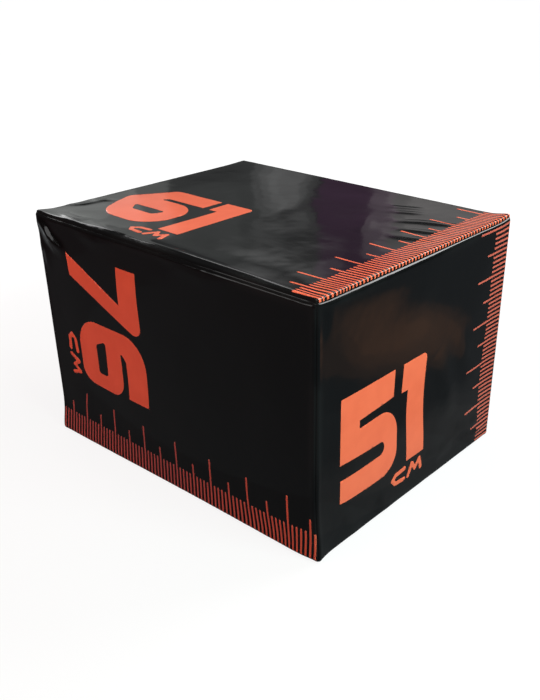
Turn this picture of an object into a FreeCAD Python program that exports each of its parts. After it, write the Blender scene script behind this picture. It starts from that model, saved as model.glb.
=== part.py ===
import FreeCAD, Part
import math
import os
import re

from FreeCAD import Placement, Rotation, Vector

# A padded jumping box: laminated foam in a sewn vinyl cover with a zipped end.
# Origin at the middle of the base, +Z up, +X along the longest side, front face on -Y.
# All lengths are in millimetres.

sizes = {
    # Outside of the cover
    "length": 760,
    "width": 610,
    "height": 510,
    "edge_radius": 9,
    "vinyl": 1,
    "lid_drop": 9.5,
    # Foam: facing boards on six sides and a core of flat slabs
    "board": 50,
    "slab_count": 8,
    # Zipped flap in the left end
    "side_margin": 45,
    "sill": 45,
    "hinge_drop": 85,
    "park_rise": 55,
    "flap_corner": 45,
    "zip_gap": 18,
    "hem_width": 3,
    "hem_depth": 9,
    "welt_radius": 1.5,
    "welt_flange": 12,
    "hinge_gap": 3,
    "flap_gap": 0.4,
    "flap_clear": 0.5,
    "groove_clear": 1,
    "groove_depth": 14.5,
    # Zip
    "tape_thick": 0.8,
    "coil_half": 3.5,
    "coil_slot": 0.8,
    "coil_thick": 4,
    "stop_length": 6,
    "run_clear": 0.4,
    "slider_length": 24,
    "slider_half": 5.5,
    "plate_thick": 1.6,
    "flange_width": 1.5,
    "post_thick": 1,
    "post_length": 8,
    "bail_width": 3.5,
    "bail_length": 12,
    "bail_wall": 2,
    "bail_bridge": 1.4,
    "bail_rise": 4.2,
    "pin_radius": 0.9,
    "pin_depth": 3.8,
    "pull_length": 30,
    "pull_width": 8,
    "pull_thick": 1.4,
    "arm_width": 1.6,
    "window_length": 8,
    # Printed rulers: one mark per centimetre, longer on fives and tens
    "ink": 0.2,
    "tick_pitch": 10,
    "tick_width": 4.2,
    "tick_short": 57,
    "tick_five": 83,
    "tick_ten": 114,
    "top_lead": 16,
    "side_lead": 1.5,
    "front_lead": 9,
    "ruler_foot": 3,
    # Printed numbers and their unit
    "digit_gap": 9,
    "unit_height": 36,
    "unit_width": 104,
    "unit_gap": 9,
    "unit_stroke": 9.5,
    "side_digit_height": 224,
    "side_digit_inset": 65,
    "side_digit_rise": 89.5,
    "five_width": 177,
    "one_width": 80,
    "top_digit_height": 210,
    "top_digit_inset": 48,
    "top_digit_rise": 87,
    "wide_six_width": 203,
    "front_digit_inset": 60,
    "front_digit_rise": 96,
    "front_digit_clear": 42,
    # Room that a cutting shape takes past the face it cuts
    "overrun": 2,
}

doc = FreeCAD.newDocument("plyo_box")
sheet = doc.addObject("Spreadsheet::Sheet", "sizes")
for row, (alias, amount) in enumerate(sizes.items(), start=1):
    sheet.set("A%d" % row, alias)
    sheet.set("B%d" % row, str(amount))
    sheet.setAlias("B%d" % row, alias)
doc.recompute()

nodes = []


def bound(text):
    """The expression with every size name pointed at its cell."""
    return re.sub(r"[a-z]\w*", lambda word: "sizes." + word.group(0), text)


def value(text):
    """The expression's present value."""
    return float(sheet.evalExpression(bound(text)))


def add(kind, name, **bindings):
    """A document object with its size properties bound to the sheet."""
    thing = doc.addObject(kind, name)
    for path, text in bindings.items():
        thing.setExpression(path.replace("__", "."), bound(text))
    return thing


def block(name, low, sides):
    """A box from its low corner and its three sides."""
    return add(
        "Part::Box", name,
        Length=sides[0], Width=sides[1], Height=sides[2],
        Placement__Base__x=low[0], Placement__Base__y=low[1], Placement__Base__z=low[2],
    )


def rounded(name, base, radius, wanted):
    """The base with the wanted edges rounded."""
    doc.recompute()
    fillet = doc.addObject("Part::Fillet", name)
    fillet.Base = base
    amount = value(radius)
    picked = [i for i, edge in enumerate(base.Shape.Edges, start=1) if wanted(edge)]
    fillet.Edges = [(i, amount, amount) for i in picked]
    return fillet


def cut(name, base, tool):
    """The base less the tool."""
    piece = doc.addObject("Part::Cut", name)
    piece.Base = base
    piece.Tool = tool
    return piece


def common(name, base, tool):
    """What the base and the tool share."""
    piece = doc.addObject("Part::Common", name)
    piece.Base = base
    piece.Tool = tool
    return piece


def joined(name, shapes):
    """Several shapes made one."""
    piece = doc.addObject("Part::MultiFuse", name)
    piece.Shapes = shapes
    piece.Refine = True
    return piece


def node(name, thing):
    """Marks a finished piece, whose label names its file."""
    thing.Label = name
    nodes.append(thing)
    return thing


# Cover: an even shell with rounded edges, cut into its sewn panels

def rounded_block(name, grow, radius):
    """The whole box, grown on every side, with every edge rounded."""
    low = [f"-length/2 - ({grow})", f"-width/2 - ({grow})", f"0 - ({grow})"]
    sides = [f"length + 2*({grow})", f"width + 2*({grow})", f"height + 2*({grow})"]
    return rounded(name, block(name + "_blank", low, sides), radius, lambda edge: True)


outside = rounded_block("outside", "0", "edge_radius")
inside = rounded_block("inside", "0 - vinyl", "edge_radius - vinyl")
shell = cut("shell", outside, inside)

SEAM = "(height - lid_drop)"


def wall_region(name, along, across, turn):
    """A wall's share of the shell, mitred at the corner seams, turned to its side of the box."""
    region = add(
        "Part::Wedge", name,
        Xmin=f"-{along}/2 - overrun", Xmax=f"{along}/2 + overrun",
        X2min=f"-{along}/2 + edge_radius", X2max=f"{along}/2 - edge_radius",
        Ymin=f"-{across}/2 - overrun", Ymax=f"-{across}/2 + edge_radius",
        Zmin="0 - overrun", Zmax=SEAM, Z2min="0 - overrun", Z2max=SEAM,
    )
    region.Placement = Placement(Vector(), Rotation(Vector(0, 0, 1), turn))
    return region


walls = {
    "front": wall_region("front_region", "length", "width", 0),
    "right": wall_region("right_region", "width", "length", 90),
    "back": wall_region("back_region", "length", "width", 180),
    "end": wall_region("end_region", "width", "length", 270),
}
base_region = block(
    "base_region",
    ["-length/2 + edge_radius", "-width/2 + edge_radius", "0 - overrun"],
    ["length - 2*edge_radius", "width - 2*edge_radius", "edge_radius + overrun"],
)
top_region = block(
    "top_region",
    ["-length/2 - overrun", "-width/2 - overrun", SEAM],
    ["length + 2*overrun", "width + 2*overrun", "lid_drop + overrun"],
)
node("base_panel", common("base_panel", shell, base_region))
node("back_panel", common("back_panel", shell, walls["back"]))
end_wall = common("end_wall", shell, walls["end"])


# Left end: a frame of vinyl round a flap, with a zip in the gap between their hems

END = "-length/2"
FRAME_HALF = "(width/2 - side_margin)"
FLAP_HALF = "(width/2 - side_margin - zip_gap)"
CHAIN_HALF = "(width/2 - side_margin - zip_gap/2)"
FLAP_LOW = "(sill + zip_gap)"
CHAIN_LOW = "(sill + zip_gap/2)"
FRAME_CORNER = "(flap_corner + zip_gap)"
CHAIN_CORNER = "(flap_corner + zip_gap/2)"
HINGE = "(height - hinge_drop)"
PARK_TOP = "(height - hinge_drop + park_rise)"
FLAP_TOP = f"({HINGE} - welt_radius - flap_gap)"
FRAME_TOP = f"({HINGE} + hinge_gap)"
TAPE_DEPTH = "hem_depth"
COIL_DEPTH = "(hem_depth + tape_thick/2 - coil_thick/2)"
COIL_TOP = f"({PARK_TOP} - stop_length)"


def end_plate(name, half, low, high, corner, depth, thick):
    """An upright plate in the left end with both its lower corners rounded."""
    blank = block(
        name + "_blank",
        [f"{END} + ({depth})", f"0 - ({half})", low],
        [thick, f"2*({half})", f"({high}) - ({low})"],
    )
    lowest = value(low)

    def lower_corner(edge):
        bottom = abs(edge.BoundBox.ZMax - lowest) < value("ink")
        return bottom and edge.BoundBox.XLength > edge.BoundBox.YLength

    return rounded(name, blank, corner, lower_corner)


def end_box(name, near, far, low, high, depth, thick):
    """An upright box in the left end between two distances from its middle line."""
    return block(
        name,
        [f"{END} + ({depth})", near, low],
        [thick, f"({far}) - ({near})", f"({high}) - ({low})"],
    )


def chain_plate(name, out, high, depth, thick):
    """A plate whose rim runs beside the zip's centre line, the given way outwards of it."""
    return end_plate(
        name, f"{CHAIN_HALF} + ({out})", f"{CHAIN_LOW} - ({out})", high,
        f"{CHAIN_CORNER} + ({out})", depth, thick,
    )


def chain_band(name, inner, outer, high, depth, thick):
    """A U-shaped band beside the zip's centre line, between two offsets from it."""
    whole = chain_plate(name + "_whole", outer, high, depth, thick)
    middle = chain_plate(
        name + "_middle", inner, f"{high} + overrun", f"{depth} - overrun", f"{thick} + 2*overrun"
    )
    return cut(name, whole, middle)


hem_pad = end_plate(
    "hem_pad", f"{FRAME_HALF} + hem_width", "(sill - hem_width)", FRAME_TOP,
    f"{FRAME_CORNER} + hem_width", "0", "hem_depth",
)
slot_pad = end_box(
    "slot_pad", f"{FLAP_HALF} - hem_width", f"{FRAME_HALF} + hem_width",
    FRAME_TOP, f"({PARK_TOP} + hem_width)", "0", "hem_depth",
)
doorway = end_plate(
    "doorway", FRAME_HALF, "sill", FRAME_TOP, FRAME_CORNER, "0 - overrun", "hem_depth + 2*overrun"
)
slot = end_box(
    "slot", FLAP_HALF, FRAME_HALF, f"({FRAME_TOP} - overrun)", PARK_TOP,
    "0 - overrun", "hem_depth + 2*overrun",
)
hemmed_wall = joined("hemmed_wall", [end_wall, hem_pad, slot_pad])
node("end_frame", cut("end_frame", hemmed_wall, joined("doorway_and_slot", [doorway, slot])))

flap_pad = end_plate("flap_pad", FLAP_HALF, FLAP_LOW, FLAP_TOP, "flap_corner", "0", "hem_depth")
flap_hollow = end_plate(
    "flap_hollow", f"({FLAP_HALF} - hem_width)", f"({FLAP_LOW} + hem_width)",
    f"({FLAP_TOP} + overrun)", "flap_corner - hem_width", "vinyl", "hem_depth",
)
node("end_flap", cut("end_flap", flap_pad, flap_hollow))

welt_bead = add(
    "Part::Cylinder", "welt_bead", Radius="welt_radius", Height=f"2*{FLAP_HALF}",
    Placement__Base__x=f"{END} + welt_radius", Placement__Base__y=f"0 - {FLAP_HALF}",
    Placement__Base__z=HINGE,
)
welt_bead.Placement.Rotation = Rotation(Vector(1, 0, 0), -90)
welt_tongue = end_box(
    "welt_tongue", f"0 - {FLAP_HALF}", f"({FLAP_HALF} - hem_width)", HINGE,
    f"({HINGE} + welt_flange)", "vinyl", "vinyl",
)
node("hinge_welt", joined("hinge_welt", [welt_bead, welt_tongue]))


# Zip: a tape and a coil on each side, stops, and the slider with its pull

front_above = end_box(
    "front_above", f"0 - {FRAME_HALF} - 2*hem_width", "0", FRAME_TOP,
    f"({PARK_TOP} + overrun)", "0", "2*groove_depth",
)
front_coil_above = end_box(
    "front_coil_above", f"0 - {FRAME_HALF} - 2*hem_width", "0", f"({FRAME_TOP} - stop_length)",
    f"({PARK_TOP} + overrun)", "0", "2*groove_depth",
)
frame_tape = chain_band(
    "frame_tape", "coil_half", "zip_gap/2 + hem_width", PARK_TOP, TAPE_DEPTH, "tape_thick"
)
node("zip_tape_frame", cut("zip_tape_frame", frame_tape, front_above))
frame_coil = chain_band(
    "frame_coil", "coil_slot", "coil_half", COIL_TOP, COIL_DEPTH, "coil_thick"
)
node("zip_coil_frame", cut("zip_coil_frame", frame_coil, front_coil_above))
node("zip_tape_flap", chain_band(
    "zip_tape_flap", "0 - zip_gap/2 - hem_width", "0 - coil_half", FLAP_TOP, TAPE_DEPTH, "tape_thick"
))
node("zip_coil_flap", chain_band(
    "zip_coil_flap", "0 - coil_half", "0 - coil_slot", FLAP_TOP, COIL_DEPTH, "coil_thick"
))
node("zip_tape_park", end_box(
    "zip_tape_park", f"{FLAP_HALF} - hem_width", f"{CHAIN_HALF} - coil_half",
    FRAME_TOP, PARK_TOP, TAPE_DEPTH, "tape_thick",
))
node("zip_coil_park", end_box(
    "zip_coil_park", f"{CHAIN_HALF} - coil_half", f"{CHAIN_HALF} - coil_slot",
    FRAME_TOP, COIL_TOP, COIL_DEPTH, "coil_thick",
))
node("zip_top_stop", end_box(
    "zip_top_stop", f"{CHAIN_HALF} - coil_half", f"{CHAIN_HALF} + coil_half",
    COIL_TOP, PARK_TOP, COIL_DEPTH, "coil_thick",
))
node("zip_end_stop", end_box(
    "zip_end_stop", f"0 - {CHAIN_HALF} - coil_half", f"0 - {CHAIN_HALF} - coil_slot",
    f"({FRAME_TOP} - stop_length)", FRAME_TOP, COIL_DEPTH, "coil_thick",
))

SLIDER_MIDDLE = f"({COIL_TOP} - run_clear - slider_length/2)"
OUTER_FACE = f"({COIL_DEPTH} - run_clear)"
INNER_FACE = f"({COIL_DEPTH} + coil_thick + run_clear)"


def slider_box(name, near, far, low, high, depth, thick):
    """A box of the slider, placed from the zip's centre line and the slider's middle."""
    return end_box(
        name, f"{CHAIN_HALF} + ({near})", f"{CHAIN_HALF} + ({far})",
        f"({SLIDER_MIDDLE} + ({low}))", f"({SLIDER_MIDDLE} + ({high}))", depth, thick,
    )


slider_bits = []
half_length = "slider_length/2"
for name, depth in (("outer_plate", f"{OUTER_FACE} - plate_thick"), ("inner_plate", INNER_FACE)):
    slider_bits.append(slider_box(
        name, "0 - slider_half", "slider_half", f"0 - {half_length}", half_length, depth, "plate_thick"
    ))
slider_bits.append(slider_box(
    "post", "0 - post_thick/2", "post_thick/2", f"{half_length} - post_length", half_length,
    OUTER_FACE, f"({INNER_FACE} - {OUTER_FACE})",
))
FLANGE_REACH = f"({TAPE_DEPTH} - run_clear - {OUTER_FACE})"
for side, near, far in (
    ("front", "0 - slider_half", "flange_width - slider_half"),
    ("back", "slider_half - flange_width", "slider_half"),
):
    for face, depth in (("outer", OUTER_FACE), ("inner", f"{INNER_FACE} - {FLANGE_REACH}")):
        slider_bits.append(slider_box(
            f"{face}_{side}_flange", near, far, f"0 - {half_length}", half_length, depth, FLANGE_REACH
        ))
BAIL_DEPTH = f"({OUTER_FACE} - plate_thick - bail_rise)"
bail_arch = slider_box(
    "bail_arch", "0 - bail_width/2", "bail_width/2", "0 - bail_length/2", "bail_length/2",
    BAIL_DEPTH, "bail_rise",
)
bail_eye = slider_box(
    "bail_eye", "0 - bail_width", "bail_width",
    "bail_wall - bail_length/2", "bail_length/2 - bail_wall",
    f"{BAIL_DEPTH} + bail_bridge", "bail_rise - bail_bridge",
)
slider_bits.append(cut("bail", bail_arch, bail_eye))
node("zip_slider", joined("zip_slider", slider_bits))

pull_pin = add(
    "Part::Cylinder", "pull_pin", Radius="pin_radius", Height="pull_width",
    Placement__Base__x=f"{END} + pin_depth", Placement__Base__y=f"{CHAIN_HALF} - pull_width/2",
    Placement__Base__z=SLIDER_MIDDLE,
)
pull_pin.Placement.Rotation = Rotation(Vector(1, 0, 0), -90)
pull_tab = slider_box(
    "pull_tab", "0 - pull_width/2", "pull_width/2", "0 - pull_length", "0",
    "pin_depth - pull_thick/2", "pull_thick",
)
pull_window = slider_box(
    "pull_window", "arm_width - pull_width/2", "pull_width/2 - arm_width",
    "0 - window_length", "overrun", "pin_depth - pull_thick", "2*pull_thick",
)
node("zip_pull", joined("zip_pull", [cut("pull_blank", pull_tab, pull_window), pull_pin]))


# Foam: boards on the two ends, then top and base, then front and back, round a core of slabs

def inner_slab(name, low, high):
    """A rounded slab of the space inside the cover, between two corners."""
    sides = [f"({far}) - ({near})" for near, far in zip(low, high)]
    return common(name, inside, block(name + "_bounds", low, sides))


SKIN_X = "(length/2 - vinyl)"
SKIN_Y = "(width/2 - vinyl)"
CORE_X = "(length/2 - vinyl - board)"
CORE_Y = "(width/2 - vinyl - board)"
CORE_LOW = "(vinyl + board)"
CORE_HIGH = "(height - vinyl - board)"
whole_low = ["0", f"0 - {SKIN_Y}", "vinyl"]
whole_high = ["0", SKIN_Y, "height - vinyl"]

node("foam_right_board", inner_slab(
    "foam_right_board", [CORE_X] + whole_low[1:], [SKIN_X] + whole_high[1:]
))
end_board = inner_slab("end_board", [f"0 - {SKIN_X}"] + whole_low[1:], [f"0 - {CORE_X}"] + whole_high[1:])
node("foam_base_board", inner_slab(
    "foam_base_board", [f"0 - {CORE_X}"] + whole_low[1:], [CORE_X, SKIN_Y, CORE_LOW]
))
node("foam_top_board", inner_slab(
    "foam_top_board", [f"0 - {CORE_X}", f"0 - {SKIN_Y}", CORE_HIGH], [CORE_X] + whole_high[1:]
))
for side, near, far in (("front", f"0 - {SKIN_Y}", f"0 - {CORE_Y}"), ("back", CORE_Y, SKIN_Y)):
    board = f"foam_{side}_board"
    node(board, inner_slab(board, [f"0 - {CORE_X}", near, CORE_LOW], [CORE_X, far, CORE_HIGH]))

GROOVE_HALF = "(zip_gap/2 + hem_width + groove_clear)"
zip_groove = chain_band(
    "zip_groove", f"0 - {GROOVE_HALF}", GROOVE_HALF, f"({FRAME_TOP} + groove_clear)",
    "0 - overrun", "groove_depth + overrun",
)
park_groove = end_box(
    "park_groove", f"{CHAIN_HALF} - {GROOVE_HALF}", f"{CHAIN_HALF} + {GROOVE_HALF}",
    HINGE, f"({PARK_TOP} + hem_width + groove_clear)", "0 - overrun", "groove_depth + overrun",
)
flap_recess = end_plate(
    "flap_recess", FLAP_HALF, FLAP_LOW, HINGE, "flap_corner",
    "0 - overrun", "vinyl + flap_clear + overrun",
)
welt_recess = end_box(
    "welt_recess", f"0 - {FLAP_HALF} - groove_clear", FLAP_HALF,
    f"({HINGE} - hinge_gap)", f"({HINGE} + welt_flange + groove_clear)",
    "0 - overrun", "2*welt_radius + flap_clear + overrun",
)
recesses = joined("recesses", [zip_groove, park_groove, flap_recess, welt_recess])
node("foam_end_board", cut("foam_end_board", end_board, recesses))

SLAB = f"(({CORE_HIGH} - {CORE_LOW}) / slab_count)"
for number in range(int(value("slab_count"))):
    slab = f"core_slab_{number + 1}"
    node(slab, block(
        slab, [f"0 - {CORE_X}", f"0 - {CORE_Y}", f"{CORE_LOW} + {number}*{SLAB}"],
        [f"2*{CORE_X}", f"2*{CORE_Y}", SLAB],
    ))


# Print: thin ink films, flush with the vinyl, on the top, the right side and the front

SAME_PLACE = 1e-6


def outline(points):
    """A closed outline through points given as (x, y, corner radius)."""
    count = len(points)
    corners = []
    for index, (x, y, radius) in enumerate(points):
        tip = Vector(x, y, 0)
        back = Vector(points[index - 1][0], points[index - 1][1], 0) - tip
        onward = Vector(points[(index + 1) % count][0], points[(index + 1) % count][1], 0) - tip
        if radius == 0:
            corners.append((tip, None, tip))
            continue
        back.normalize()
        onward.normalize()
        half = back.getAngle(onward) / 2
        run = radius / math.tan(half)
        inward = (back + onward).normalize()
        middle = tip + inward * (radius / math.sin(half) - radius)
        corners.append((tip + back * run, middle, tip + onward * run))
    edges = []
    for index, (start, middle, end) in enumerate(corners):
        if middle:
            edges.append(Part.Arc(start, middle, end).toShape())
        following = corners[(index + 1) % count][0]
        if not end.isEqual(following, SAME_PLACE):
            edges.append(Part.LineSegment(end, following).toShape())
    return Part.Wire(edges)


def stroke(points, thick):
    """The outline shape of a pen line with round ends, as fused capsules."""
    capsules = []
    for (x, y), (far_x, far_y) in zip(points, points[1:]):
        start = Vector(x, y, 0)
        along = Vector(far_x, far_y, 0) - start
        reach = along.Length
        bar = Part.makeBox(reach, thick, value("ink"), Vector(0, -thick / 2, 0))
        bar.Placement = Placement(start, Rotation(Vector(1, 0, 0), along))
        capsules += [bar]
        for centre in (start, start + along):
            capsules.append(Part.makeCylinder(thick / 2, value("ink"), centre))
    return capsules[0].multiFuse(capsules[1:]).removeSplitter()


# Each digit: outer outline, then any counter, as (width share, height share, radius share of width)
five_shares = [[
    (0, 1, 0), (0.89, 1, 0), (0.89, 0.75, 0), (0.3, 0.725, 0), (0.3, 0.65, 0), (1, 0.665, 0.35),
    (1, 0, 0.27), (0.01, 0.02, 0), (0.01, 0.25, 0), (0.76, 0.25, 0.075), (0.76, 0.375, 0.075),
    (0, 0.405, 0),
]]
one_shares = [[
    (0, 1, 0), (1, 1, 0.16), (1, 0, 0), (0.28, 0, 0), (0.28, 0.735, 0), (0, 0.735, 0),
]]
wide_six_shares = [
    [
        (0.3, 1, 0.12), (0.96, 1, 0), (0.96, 0.735, 0), (0.46, 0.735, 0.02), (0.4, 0.67, 0.02),
        (1, 0.67, 0.3), (1, 0, 0.3), (0.22, 0, 0.3), (0, 0.57, 0.12),
    ],
    [(0.32, 0.4, 0.02), (0.79, 0.4, 0.03), (0.74, 0.27, 0.06), (0.42, 0.27, 0.08)],
]
six_shares = [
    [
        (0, 1, 0.42), (0.96, 1, 0), (0.96, 0.715, 0), (0.4, 0.715, 0.06), (0.28, 0.645, 0.02),
        (1, 0.645, 0.24), (1, 0, 0.24), (0, 0, 0.45),
    ],
    [(0.24, 0.425, 0.04), (0.77, 0.41, 0.05), (0.77, 0.265, 0.05), (0.34, 0.265, 0.07)],
]
seven_shares = [[
    (0, 1, 0), (1, 1, 0.17), (1, 0.87, 0.12), (0.4, 0.02, 0), (0.04, 0, 0), (0.6, 0.735, 0),
    (0, 0.745, 0),
]]
SEVEN_WIDTH_SHARE = 0.467
FRONT_HEIGHT_SHARE = 0.765
letter_c_shares = [(0.4, 0.95), (0.14, 0.86), (0.04, 0.5), (0.12, 0.14), (0.38, 0.05)]
letter_m_shares = [(0.52, 0.04), (0.63, 0.95), (0.75, 0.3), (0.88, 0.95), (0.96, 0.04)]


def digit(shares, left, wide, tall):
    """One printed digit as a flat film standing on the base line."""
    faces = []
    for loop in shares:
        points = [(left + x * wide, y * tall, radius * wide) for x, y, radius in loop]
        faces.append(Part.Face(outline(points)))
    face = faces[0]
    for counter in faces[1:]:
        face = face.cut(counter)
    return face.extrude(Vector(0, 0, value("ink")))


def letter(shares, left, wide, base, tall):
    """One small letter drawn with a round pen, leaning a little with its shares."""
    pen = value("unit_stroke")
    points = [(left + x * wide, base + pen / 2 + y * (tall - pen)) for x, y in shares]
    return stroke(points, pen)


def number_print(name, digits, tall, corner, along, up):
    """A printed number with its unit under its right end, placed on a face of the box."""
    films = []
    left = 0
    for shares, wide in digits:
        films += digit(shares, left, wide, tall).Solids
        left += wide + value("digit_gap")
    right = left - value("digit_gap")
    unit_wide = value("unit_width")
    unit_tall = value("unit_height")
    unit_base = -value("unit_gap") - unit_tall
    for shares in (letter_c_shares, letter_m_shares):
        films += letter(shares, right - unit_wide, unit_wide, unit_base, unit_tall).Solids
    film = doc.addObject("Part::Feature", name)
    film.Shape = Part.makeCompound(films)
    outward = along.cross(up)
    film.Placement = Placement(corner - outward * value("ink"), Rotation(along, up, outward, "ZXY"))
    return node(name, film)


ALONG_X = Vector(1, 0, 0)
ALONG_Y = Vector(0, 1, 0)
ALONG_Z = Vector(0, 0, 1)
left_x = value("-length/2")
right_x = value("length/2")
front_y = value("-width/2")
back_y = value("width/2")
top_z = value("height")

print_51 = number_print(
    "print_51", [(five_shares, value("five_width")), (one_shares, value("one_width"))],
    value("side_digit_height"),
    Vector(right_x, front_y + value("side_digit_inset"), value("side_digit_rise")), ALONG_Y, ALONG_Z,
)
print_61 = number_print(
    "print_61", [(wide_six_shares, value("wide_six_width")), (one_shares, value("one_width"))],
    value("top_digit_height"),
    Vector(left_x + value("top_digit_inset"), front_y + value("top_digit_rise"), top_z), ALONG_X, ALONG_Y,
)
front_run = value("height - front_digit_inset - digit_gap - tick_ten - front_digit_clear")
seven_width = SEVEN_WIDTH_SHARE * front_run
print_76 = number_print(
    "print_76", [(seven_shares, seven_width), (six_shares, front_run - seven_width)],
    FRONT_HEIGHT_SHARE * front_run,
    Vector(left_x + value("front_digit_rise"), front_y, top_z - value("front_digit_inset")),
    -ALONG_Z, ALONG_X,
)

film = cut("film", outside, rounded_block("under_ink", "0 - ink", "edge_radius - ink"))


def tick_outline(at, start, reach, wide):
    """One ruler mark from the edge inwards, with a round inner end."""
    half = wide / 2
    near, far = at - half, at + half
    return outline([(near, start, 0), (far, start, 0), (far, reach, half), (near, reach, half)])


def ruler(name, region, length_text, lead, start, origin, along, inward):
    """A row of centimetre marks that runs over the rounded edge as far as the panel's seam."""
    deep = value("lid_drop + overrun")
    marks = []
    pitch = value("tick_pitch")
    for mark in range(1, int((value(length_text) + lead) / pitch) + 1):
        place = mark * pitch - lead
        if not value("ruler_foot") < place < value(length_text) - value("ruler_foot"):
            continue
        reach = value("tick_short")
        if mark % 5 == 0:
            reach = value("tick_five")
        if mark % 10 == 0:
            reach = value("tick_ten")
        face = Part.Face(tick_outline(place, start, reach, value("tick_width")))
        bar = face.extrude(Vector(0, 0, deep))
        bar.translate(Vector(0, 0, value("overrun") - deep))
        marks.append(bar)
    bars = doc.addObject("Part::Feature", name + "_bars")
    bars.Shape = Part.makeCompound(marks)
    bars.Placement = Placement(origin, Rotation(along, inward, along.cross(inward), "ZXY"))
    return node(name, common(name, common(name + "_film", film, region), bars))


beyond = -value("overrun")
foot = value("ruler_foot")
right_back = Vector(right_x, back_y, 0)
top_right = Vector(right_x, front_y, top_z)
front_left = Vector(left_x, front_y, 0)
ruler_51 = ruler(
    "ruler_51", walls["right"], "height", value("side_lead"), beyond, right_back, ALONG_Z, -ALONG_Y
)
ruler_61 = ruler(
    "ruler_61", top_region, "width", value("top_lead"), beyond, top_right, ALONG_Y, -ALONG_X
)
ruler_76 = ruler(
    "ruler_76", walls["front"], "length", value("front_lead"), foot, front_left, ALONG_X, ALONG_Z
)

for name, region, inks in (
    ("top_panel", top_region, [print_61, ruler_61]),
    ("front_panel", walls["front"], [print_76, ruler_76]),
    ("right_panel", walls["right"], [print_51, ruler_51]),
):
    marks = doc.addObject("Part::Compound", name + "_marks")
    marks.Links = inks
    node(name, cut(name, common(name + "_blank", shell, region), marks))

doc.recompute()
for thing in doc.Objects:
    if "Invalid" in thing.State or "Error" in thing.State:
        raise RuntimeError(f"{thing.Label} failed: {thing.State}")
for thing in nodes:
    if thing.Shape.isNull() or not thing.Shape.isValid() or not thing.Shape.Solids:
        raise RuntimeError(f"{thing.Label} has no valid solid")

os.makedirs("parts", exist_ok=True)
for thing in nodes:
    thing.Shape.exportStep(f"parts/{thing.Label}.step")
    box = thing.Shape.BoundBox
    print(
        f"{thing.Label}: {len(thing.Shape.Solids)} solids, {thing.Shape.Volume / 1000:.1f} cm3,",
        f"{box.XLength:.1f} x {box.YLength:.1f} x {box.ZLength:.1f} mm",
    )
skins = [thing for thing in nodes if thing.Label.endswith("_panel") or thing.Label[:5] in ("print", "ruler")]
cover = sum(thing.Shape.Volume for thing in skins) + end_wall.Shape.Volume
print(f"panels fill {100 * cover / shell.Shape.Volume:.3f} % of the cover's shell")
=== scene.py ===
# %% [markdown]
# # A padded jumping box
# The real thing is a stack of foam in a sewn black vinyl cover, printed with three heights and
# three centimetre rulers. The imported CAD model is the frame: it says where every panel, mark and
# zip part is. This script dresses it, one piece after another, all in metres.

# %% Load the frame
import itertools
import math

import bmesh
import bpy
import numpy as np
from mathutils import Matrix, Vector


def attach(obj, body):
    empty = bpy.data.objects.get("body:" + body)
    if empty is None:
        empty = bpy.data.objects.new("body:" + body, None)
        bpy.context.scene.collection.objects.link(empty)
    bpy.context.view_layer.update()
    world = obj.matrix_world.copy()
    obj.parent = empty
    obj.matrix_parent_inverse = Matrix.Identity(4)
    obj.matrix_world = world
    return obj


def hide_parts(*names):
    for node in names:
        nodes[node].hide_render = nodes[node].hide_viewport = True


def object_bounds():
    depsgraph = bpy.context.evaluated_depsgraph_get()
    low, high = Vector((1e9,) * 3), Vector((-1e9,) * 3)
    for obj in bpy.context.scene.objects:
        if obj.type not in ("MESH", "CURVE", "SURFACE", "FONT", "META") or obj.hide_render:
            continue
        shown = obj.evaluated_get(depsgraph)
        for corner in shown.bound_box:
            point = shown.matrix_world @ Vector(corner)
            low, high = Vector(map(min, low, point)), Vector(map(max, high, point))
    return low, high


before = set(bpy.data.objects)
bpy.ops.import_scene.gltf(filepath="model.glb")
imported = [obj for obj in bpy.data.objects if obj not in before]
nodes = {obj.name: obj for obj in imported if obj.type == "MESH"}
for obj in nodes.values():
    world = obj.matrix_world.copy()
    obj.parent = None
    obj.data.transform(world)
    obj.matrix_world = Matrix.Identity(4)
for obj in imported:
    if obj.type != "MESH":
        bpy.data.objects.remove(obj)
cad_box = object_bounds()
print("nodes:", len(nodes), "box:", [round(side, 3) for side in cad_box[1] - cad_box[0]])

# %% [markdown]
# ## Working by hand, in code
# Every operator works on what is selected, and loading leaves the CAD nodes selected. So each step
# first selects one object alone, then picks its faces or edges by where they are.

# %% Selecting and cutting
MM = 0.001
# Points closer than this count as one
TOUCHING = 0.01 * MM


def only(piece):
    """Selects this object alone and makes it the active one."""
    if bpy.context.mode != "OBJECT":
        bpy.ops.object.mode_set(mode="OBJECT")
    bpy.ops.object.select_all(action="DESELECT")
    piece.select_set(True)
    bpy.context.view_layer.objects.active = piece
    return piece


def open_mesh(piece, kind="EDGE", action="DESELECT"):
    """Edit mode with nothing selected, or everything."""
    only(piece)
    bpy.ops.object.mode_set(mode="EDIT")
    bpy.ops.mesh.select_mode(type=kind)
    bpy.ops.mesh.select_all(action=action)


def pick(piece, kind, wanted):
    """Edit mode with the wanted verts, edges or faces selected; says how many."""
    open_mesh(piece, kind)
    mesh = bmesh.from_edit_mesh(piece.data)
    parts = {"VERT": mesh.verts, "EDGE": mesh.edges, "FACE": mesh.faces}[kind]
    found = [part for part in parts if wanted(part)]
    for part in found:
        part.select_set(True)
    bmesh.update_edit_mesh(piece.data)
    return len(found)


def slice_all(point, normal, drop=False):
    """Cuts everything through a plane; drop takes away the side the normal points to."""
    bpy.ops.mesh.select_all(action="SELECT")
    bpy.ops.mesh.bisect(plane_co=point, plane_no=normal, clear_outer=drop)


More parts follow.
